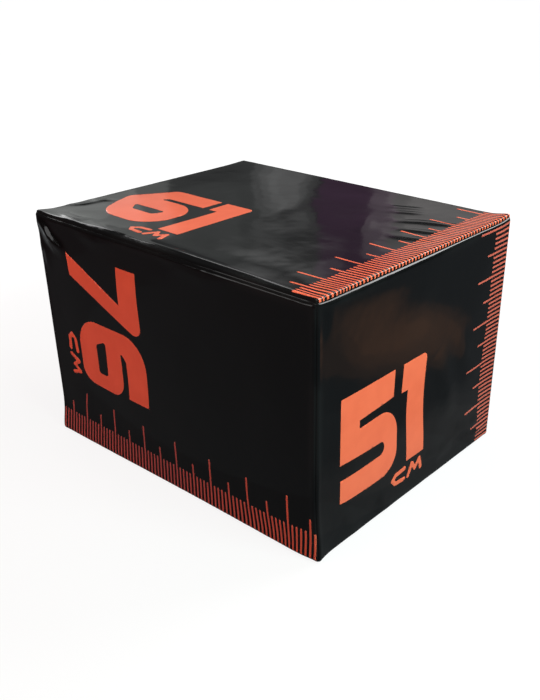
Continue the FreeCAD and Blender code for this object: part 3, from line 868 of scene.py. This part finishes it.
end_frame = end_piece("end_frame", "end_frame_vinyl", "cover")
end_flap = end_piece("end_flap", "end_flap_vinyl", "flap")

# %% Hinge piping
WELT_PITCH = 6 * MM

welt = copy_of("hinge_welt", "hinge_piping")
cut_grid(welt, (1,), WELT_PITCH)
places = points_of(welt)
for axis, height, size, seed in ((0, 0.12 * MM, 14 * MM, 31), (2, 0.15 * MM, 22 * MM, 32)):
    places[:, axis] += height * ripple(places, size, seed)
set_points(welt, places)
mark_rub(welt)
settle(welt, vinyl, "cover", "vinyl", "hinge_welt", sharp=40)

# %% [markdown]
# ## Stitches and zip coils
# A stitch and a turn of the zip's coil are each modelled once, lying flat. Array repeats them in a
# row, Curve bends the row round the flap, and then the whole row is stood up on the left end.

# %% Thread, tape, coil and metal finishes
thread, shader, wires, coords = new_finish("black_thread", Specular_IOR_Level=0.3)
twist = wires.node("TexWave", {"bands_direction": "DIAGONAL"}, Vector=coords, Scale=420.0)
fuzz = soft_noise(wires, coords, 700.0)
feed(
    shader, wires,
    Base_Color=(twist * fuzz).blend((0.012, 0.012, 0.013, 1), (0.04, 0.04, 0.042, 1)),
    Roughness=0.55 + 0.25 * fuzz,
    Normal=twist.bump(0.4, 0.1 * MM),
)

tape, shader, wires, coords = new_finish("woven_tape", Specular_IOR_Level=0.25)
weft = wires.node("TexWave", {"bands_direction": "Z"}, Vector=coords, Scale=390.0, Distortion=0.6)
warp = wires.node("TexWave", {"bands_direction": "Y"}, Vector=coords, Scale=300.0, Distortion=0.6)
weave = weft * warp
feed(
    shader, wires,
    Base_Color=weave.blend((0.013, 0.013, 0.014, 1), (0.05, 0.05, 0.053, 1)),
    Roughness=0.9 - 0.2 * weave,
    Normal=weave.bump(0.5, 0.15 * MM),
)

nylon, shader, wires, coords = new_finish("coil_nylon", Specular_IOR_Level=0.4)
scuffs = soft_noise(wires, coords, 160.0)
feed(
    shader, wires,
    Base_Color=scuffs.between(0.4, 0.75).blend((0.028, 0.028, 0.03, 1), (0.07, 0.07, 0.072, 1)),
    Roughness=0.32 + 0.25 * scuffs,
)

enamel, shader, wires, coords = new_finish("black_enamel", Specular_IOR_Level=0.5)
scratches = soft_noise(wires, wires.node("Mapping", Vector=coords, Scale=(1.0, 9.0, 1.0)), 260.0, 4.0)
bare = scratches.between(0.6, 0.72)
feed(
    shader, wires,
    Base_Color=bare.blend((0.045, 0.045, 0.05, 1), (0.38, 0.38, 0.4, 1)),
    Metallic=0.25 + 0.7 * bare,
    Roughness=0.26 + 0.3 * scratches,
    Normal=scratches.bump(0.08, 0.1 * MM),
)

# %% Rows along the zip
STITCH, STITCH_PITCH = 3.4 * MM, 4.5 * MM
THREAD_HALF, THREAD_UNDER, THREAD_OVER = 0.3 * MM, 0.25 * MM, 0.35 * MM
# The coil: its pitch, outer radius and wire, how flat it is, and how far its turns are in and aside
COIL_PITCH, COIL_RADIUS, WIRE_RADIUS = 2 * MM, 2 * MM, 0.35 * MM
COIL_FLAT, COIL_IN, COIL_ASIDE = 0.72, 9.4 * MM, 2.05 * MM
STAND_UP = Matrix(((0, 0, -1, -HALF_LENGTH), (-1, 0, 0, 0), (0, 1, 0, 0), (0, 0, 0, 1)))
ARC_STEPS = 14


def zip_line(out, park_top, far_top):
    """Flat points of a U beside the zip, this far outside its middle line, from the parking end."""
    half, low, corner = CHAIN_HALF + out, CHAIN_LOW - out, CHAIN_CORNER + out
    points = [(-half, park_top)]
    for turn, middle in enumerate((corner - half, half - corner)):
        for step in range(ARC_STEPS + 1):
            angle = math.pi * (1 + (turn + step / ARC_STEPS) / 2)
            points.append((middle + corner * math.cos(angle), low + corner + corner * math.sin(angle)))
    return points + [(half, far_top)]


def along(piece, points, pitch):
    """Repeats a small piece along a line of flat points and stands the row up on the left end."""
    data = bpy.data.curves.new("row_line", "CURVE")
    spline = data.splines.new("POLY")
    spline.points.add(len(points) - 1)
    for place, (across, high) in zip(spline.points, points):
        place.co = (across, high, 0, 1)
    line = new_object("row_line", data)
    run = sum(math.dist(here, there) for here, there in zip(points, points[1:]))
    count = int(run / pitch)
    apply_modifier(
        piece, "ARRAY", count=count, use_relative_offset=False,
        use_constant_offset=True, constant_offset_displace=(pitch, 0, 0))
    apply_modifier(piece, "CURVE", object=line, deform_axis="POS_X")
    bpy.data.objects.remove(line)
    piece.data.transform(STAND_UP)
    return count


def stitch_row(name, points):
    piece = new_cube(name, (0, -THREAD_HALF, -THREAD_UNDER), (STITCH, THREAD_HALF, THREAD_OVER))
    open_mesh(piece, action="SELECT")
    bpy.ops.mesh.bevel(offset=0.2 * MM, segments=1, affect="EDGES")
    close_mesh(piece)
    count = along(piece, points, STITCH_PITCH)
    lay_cover(piece)
    print("row:", name, count, "stitches")
    return piece


def join_rows(first, second):
    only(first)
    second.select_set(True)
    bpy.ops.object.join()


# The numbers are where the rows end, in metres across and up
frame_row = stitch_row("frame_stitches", zip_line(STITCH_OUT, 0.492, 0.4425))
join_rows(frame_row, stitch_row("over_hinge", [(-0.236, 0.4395), (0.262, 0.4395)]))
settle(frame_row, thread, "cover", "vinyl")
flap_row = stitch_row("flap_stitches", zip_line(-STITCH_OUT, 0.4105, 0.4105))
join_rows(flap_row, stitch_row("under_hinge", [(-0.234, 0.4105), (0.234, 0.4105)]))
settle(flap_row, thread, "flap", "vinyl")


def coil_row(node, name, body, side, points):
    """The turns of a coil on one side of the zip's middle line: 1 is the flap's side."""
    bpy.ops.object.select_all(action="DESELECT")
    bpy.ops.mesh.primitive_torus_add(
        major_radius=COIL_RADIUS - WIRE_RADIUS, minor_radius=WIRE_RADIUS, major_segments=8, minor_segments=4,
        rotation=(0, math.radians(102), 0))
    piece = bpy.context.object
    piece.name = piece.data.name = name
    bpy.ops.object.transform_apply(rotation=True)
    bpy.ops.object.mode_set(mode="EDIT")
    bpy.ops.transform.resize(value=(1, COIL_FLAT, 1))
    bpy.ops.transform.translate(value=(COIL_PITCH / 2, side * COIL_ASIDE, -COIL_IN))
    close_mesh(piece)
    count = along(piece, points, COIL_PITCH)
    settle(piece, nylon, body, "zip_coil", node)
    print("coil:", name, count, "turns")


coil_row("zip_coil_frame", "frame_coil", "cover", -1, zip_line(0, 0.474, 0.422))
coil_row("zip_coil_flap", "flap_coil", "flap", 1, zip_line(0, 0.4231, 0.4231))
coil_row("zip_coil_park", "park_coil", "cover", 1, [(-CHAIN_HALF, 0.474), (-CHAIN_HALF, 0.428)])

# %% [markdown]
# ## Tapes and metal
# The tapes, the stops, the slider and its pull are copies of their solids with rounded edges. The
# slider and the pull each ride on their own body, because they move.

# %% Tapes
for node, name, body, flat, area, carrier in (
    ("zip_tape_frame", "frame_tape", "cover", (0.012, 1.27), 0.0107, "end_frame"),
    ("zip_tape_flap", "flap_tape", "flap", (0.012, 1.16), 0.0097, "end_flap"),
    ("zip_tape_park", "park_tape", "cover", (0.01, 0.052), 0.00044, "end_frame"),
):
    strip = copy_of(node, name)
    soften(strip, 0.2 * MM)
    settle(strip, tape, body, "zip_tape", node, sharp=50)

# %% Slider, pull and stops
for node, name, body, round_edge in (
    ("zip_slider", "slider_metal", "slider", 0.5 * MM),
    ("zip_pull", "pull_metal", "pull", 0.35 * MM),
    ("zip_top_stop", "top_stop_metal", "cover", 0.8 * MM),
    ("zip_end_stop", "end_stop_metal", "cover", 0.7 * MM),
):
    metal = copy_of(node, name)
    soften(metal, round_edge, 3)
    settle(metal, enamel, body, "zip_metal", node, sharp=35)

# %% [markdown]
# ## Foam
# Inside is firm dark board foam on every side and a core of pale slabs. Only the end board shows,
# when the flap is open. The boards are copies of their solids with softened edges, and the cover
# squeezes them: they give way under it, most of all along the seams.

# %% Foam finishes
def foam_finish(name, dark, light, cells):
    material, shader, wires, coords = new_finish(name, Specular_IOR_Level=0.2)
    bubbles = wires.node("TexVoronoi", Vector=coords, Scale=cells)
    mottle = soft_noise(wires, coords, 30.0, 3.0)
    feed(
        shader, wires,
        Base_Color=(0.6 * mottle + 0.5 * bubbles).between(0.2, 0.8).blend((*dark, 1), (*light, 1)),
        Roughness=0.85 + 0.1 * mottle,
        Normal=bubbles.bump(0.45, 0.4 * MM),
    )
    return material


board_foam = foam_finish("board_foam", (0.14, 0.14, 0.15), (0.22, 0.22, 0.23), 620.0)
core_foam = foam_finish("core_foam", (0.64, 0.64, 0.61), (0.82, 0.82, 0.8), 380.0)

# %% Foam boards and slabs
# How far the cover squeezes the foam, how much more under a seam, and how far from one that goes
SQUEEZE, SEAM_SQUEEZE, SQUEEZE_REACH = 0.7 * MM, 2.4 * MM, 9 * MM
# How deep the foam moves with its outside, and where it stays still
MOVES_TO, STILL_FROM = 1.2 * MM, 8 * MM
BOARD_EDGE, SLAB_EDGE, FOAM_PITCH = 1.5 * MM, 3 * MM, 48 * MM


def press(piece):
    """Moves a board's outside in, away from the vinyl, most under the seams."""
    places = points_of(piece)
    surface, way = on_surface(places)
    depth = np.linalg.norm(surface - places, axis=1)
    squeeze = SQUEEZE + SEAM_SQUEEZE * bell(seam_distance(surface), SQUEEZE_REACH)
    outside = 1 - smooth_step(depth, MOVES_TO, STILL_FROM)
    set_points(piece, places + (moved_by(surface, pushes) - way * squeeze[:, None]) * outside[:, None])


for node in sorted(name for name in nodes if name.startswith(("foam_", "core_"))):
    if node.startswith("foam_"):
        finish, slot, round_edge = board_foam, "foam_board", BOARD_EDGE
    else:
        finish, slot, round_edge = core_foam, "foam_core", SLAB_EDGE
    foam = copy_of(node, node + "_soft")
    soften(foam, round_edge)
    cut_grid(foam, (0, 1, 2), FOAM_PITCH)
    press(foam)
    settle(foam, finish, "cover", slot, node, sharp=45)

# %% [markdown]
# ## Floor and world
# A plain pale floor that the camera sees as white and that keeps the soft shadow. Reflections see it
# much darker, because black vinyl would turn grey on a floor that mirrors as white.

# %% Floor
GLOSSY_SHARE = 0.02
FLOOR_DROP = 0.4 * MM


def empty_tree(owner):
    """The wires of a material or world whose nodes are cleared."""
    owner.use_nodes = True
    owner.node_tree.nodes.clear()
    return Wire(owner.node_tree)


def show(wires, kind, lights, shows):
    """A new output of this kind: what lights the box, and what shows to the camera and a little in gloss."""
    path = wires.node("LightPath").socket.node
    straight, through, glossy = (Wire(wires.tree, path.outputs[name]) for name in (
        "Is Camera Ray", "Is Transmission Ray", "Is Glossy Ray"))
    share = straight + through + GLOSSY_SHARE * glossy
    mixed = wires.node("MixShader", s0=share, s1=lights, s2=shows)
    wires.join(mixed, wires.tree.nodes.new(kind).inputs["Surface"])


floor = new_cube("floor", (-30, -30, -0.1), (30, 30, -FLOOR_DROP))
pale = bpy.data.materials.new("pale_floor")
wires = empty_tree(pale)
far = wires.node("VectorMath", {"operation": "LENGTH"}, output=1, s0=wires.node("TexCoord", output=3))
lit = wires.node("BsdfDiffuse", Color=(0.055, 0.052, 0.06, 1))
pale_lit = wires.node("BsdfDiffuse", Color=(0.12, 0.12, 0.12, 1))
glow = wires.node("Emission", Color=(1, 1, 1, 1), Strength=far.between(0.7, 2.2, 0.86, 1.0))
both = wires.node("AddShader", s0=pale_lit, s1=glow)
show(wires, "ShaderNodeOutputMaterial", lit, both)
dress(floor, pale)
print("floor:", pale.name)

# %% World
world = bpy.data.worlds.new("studio")
bpy.context.scene.world = world
wires = empty_tree(world)
dim = wires.node("Background", Color=(0.94, 0.97, 1, 1), Strength=0.05)
white = wires.node("Background", Color=(1, 1, 1, 1), Strength=1.0)
show(wires, "ShaderNodeOutputWorld", dim, white)
print("world:", world.name)

# %% [markdown]
# ## Lamps
# Big soft lamps light the top most, then the right side, then the front, as in the photograph. The
# camera doesn't see them.

# %% Lamps
MIDDLE = Vector((0, 0, HEIGHT / 2))
# Which way the camera looks across the floor, as the cosine and sine of its azimuth
VIEW_COS, VIEW_SIN = 0.757, 0.653
# The lamps of a soft-edged one: their shares of its size, and how far they are apart
SOFT_SHARES, SOFT_GAP = (1.35, 1.0, 0.65), 5 * MM


def softbox(name, place, size, radiance, colour=(1, 1, 1), aim=MIDDLE, shape="RECTANGLE"):
    """A lamp that faces the box; its radiance is what a mirror would show."""
    data = bpy.data.lights.new(name, "AREA")
    data.shape = shape
    data.size, data.size_y = size
    data.energy = radiance * math.pi * size[0] * size[1]
    data.color = colour
    lamp = new_object(name, data)
    lamp.location = place
    lamp.rotation_euler = (Vector(aim) - Vector(place)).to_track_quat("-Z", "Y").to_euler()
    lamp.visible_camera = False
    return lamp


def soft_edged(name, place, size, radiance, colour=(1, 1, 1), aim=MIDDLE, shape="RECTANGLE"):
    """Three nested lamps, a little apart, that add up to one whose edges fade."""
    ahead = (Vector(aim) - Vector(place)).normalized()
    for step, share in enumerate(SOFT_SHARES):
        spot = Vector(place) + ahead * SOFT_GAP * step
        spread = (size[0] * share, size[1] * share)
        softbox(f"{name}_{step}", spot, spread, radiance / len(SOFT_SHARES), colour, aim, shape)


def behind(sideways, height, away=2.6):
    """A place behind the box as the camera sees it: to its right, up, and this far back."""
    return (VIEW_COS * sideways - VIEW_SIN * away, VIEW_SIN * sideways + VIEW_COS * away, height)


softbox("overhead", (0.2, -0.3, 2.7), (2.4, 2.0), 1.55, (1, 0.92, 0.82))
softbox("rim", (1.25, 2.7, 2.6), (1.6, 1.5), 11.0)
# Most of the right lamp is kept out of reflections, or the top would mirror it from the left end
softbox("right_side", (2.5, -0.1, 1.5), (1.6, 1.6), 10.9, (0.73, 1, 0.97)).visible_glossy = False
softbox("right_sheen", (2.5, -0.1, 1.5), (1.6, 1.6), 1.8, (0.73, 1, 0.97))
# The warm fill colours the ink of the front, but would redden the vinyl's highlights
softbox("front_fill", (-1.0, -2.8, 1.3), (1.8, 1.4), 5.2, (1, 0.34, 0.3)).visible_glossy = False
softbox("front_left", (-1.6, -2.4, 0.75), (0.5, 0.9), 2.2)
softbox("left_end", (-2.7, 0.5, 1.5), (1.2, 1.2), 2.4)
softbox("high_back", behind(0.0, 2.3), (1.8, 0.45), 2.2)
print("lamps:", len(bpy.data.lights))

# %% [markdown]
# ## What the vinyl mirrors
# Glossy black shows little but its reflections. Soft-edged lamps behind the box stand for the windows
# that the top mirrors, and low ones at the floor for the dim room that the sides mirror.

# %% Reflections
LOW = 5 * MM

soft_edged("window_left", behind(-1.3, 1.2), (1.0, 1.0), 0.62, (0.97, 1, 0.97))
soft_edged("window_wide", behind(-0.52, 1.5, 2.75), (0.7, 0.7), 0.14, (0.94, 1, 0.97))
soft_edged("window_strip", behind(-0.04, 1.12), (0.24, 0.44), 0.26)
softbox("window_purple", behind(0.32, 1.3), (0.38, 1.0), 0.07, (1, 0.1, 0.9))
soft_edged("window_right", behind(0.77, 1.28), (0.58, 0.54), 0.47, (1, 0.95, 0.94))
soft_edged("window_high", behind(-0.08, 1.68), (0.5, 0.26), 0.42)
for name, place, size, radiance, colour in (
    ("low_front", (-0.1, -1.0, LOW), (2.6, 1.9), 0.06, (0.8, 1, 1)),
    ("low_warm", (0.85, 0.59, LOW), (0.26, 0.46), 0.36, (1, 0.42, 0.17)),
    ("low_near", (0.46, 0.12, LOW), (0.17, 0.8), 0.08, (1, 0.95, 0.9)),
    ("low_left", (-1.65, 0.45, LOW), (2.0, 1.1), 0.45, (0.9, 0.97, 1)),
    ("low_far", (-2.2, -0.45, LOW), (1.4, 1.1), 0.45, (0.9, 0.97, 1)),
    ("low_back", (-0.75, 1.75, LOW), (1.6, 2.2), 0.4, (0.9, 0.97, 1)),
):
    soft_edged(name, place, size, radiance, colour, Vector(place) + UP, "ELLIPSE")
print("lamps and reflections:", len(bpy.data.lights))

# %% [markdown]
# ## Camera
# It was fitted to the seven corners that the photograph shows. The picture's centre is off the middle
# of the frame, so the lens is shifted.

# %% Camera
AZIMUTH, ELEVATION, ROLL = (math.radians(angle) for angle in (40.7724, 27.6669, 0.0532))
DISTANCE, SIDEWAYS, UPWARDS = 1.8439, 0.0758, -0.1191
FRAME_WIDE, FRAME_TALL, FOCAL_PIXELS = 540, 700, 846.9
CENTRE_X, CENTRE_Y = 308.33, 383.7
SENSOR = 36

backward = Vector((
    math.sin(AZIMUTH) * math.cos(ELEVATION),
    -math.cos(AZIMUTH) * math.cos(ELEVATION),
    math.sin(ELEVATION),
))
level = Vector((math.cos(AZIMUTH), math.sin(AZIMUTH), 0))
rising = backward.cross(level)
right = level * math.cos(ROLL) + rising * math.sin(ROLL)
up = rising * math.cos(ROLL) - level * math.sin(ROLL)
data = bpy.data.cameras.new("photo_camera")
data.sensor_width = SENSOR
data.lens = FOCAL_PIXELS / FRAME_TALL * SENSOR
data.shift_x = (FRAME_WIDE / 2 - CENTRE_X) / FRAME_TALL
data.shift_y = (CENTRE_Y - FRAME_TALL / 2) / FRAME_TALL
camera = new_object("photo_camera", data)
camera.matrix_world = Matrix.Translation(
    MIDDLE + right * SIDEWAYS + up * UPWARDS + backward * DISTANCE
) @ Matrix((right, up, backward)).transposed().to_4x4()
bpy.context.scene.camera = camera
bpy.context.scene.view_settings.view_transform = "Standard"
print("camera at", [round(number, 3) for number in camera.location])
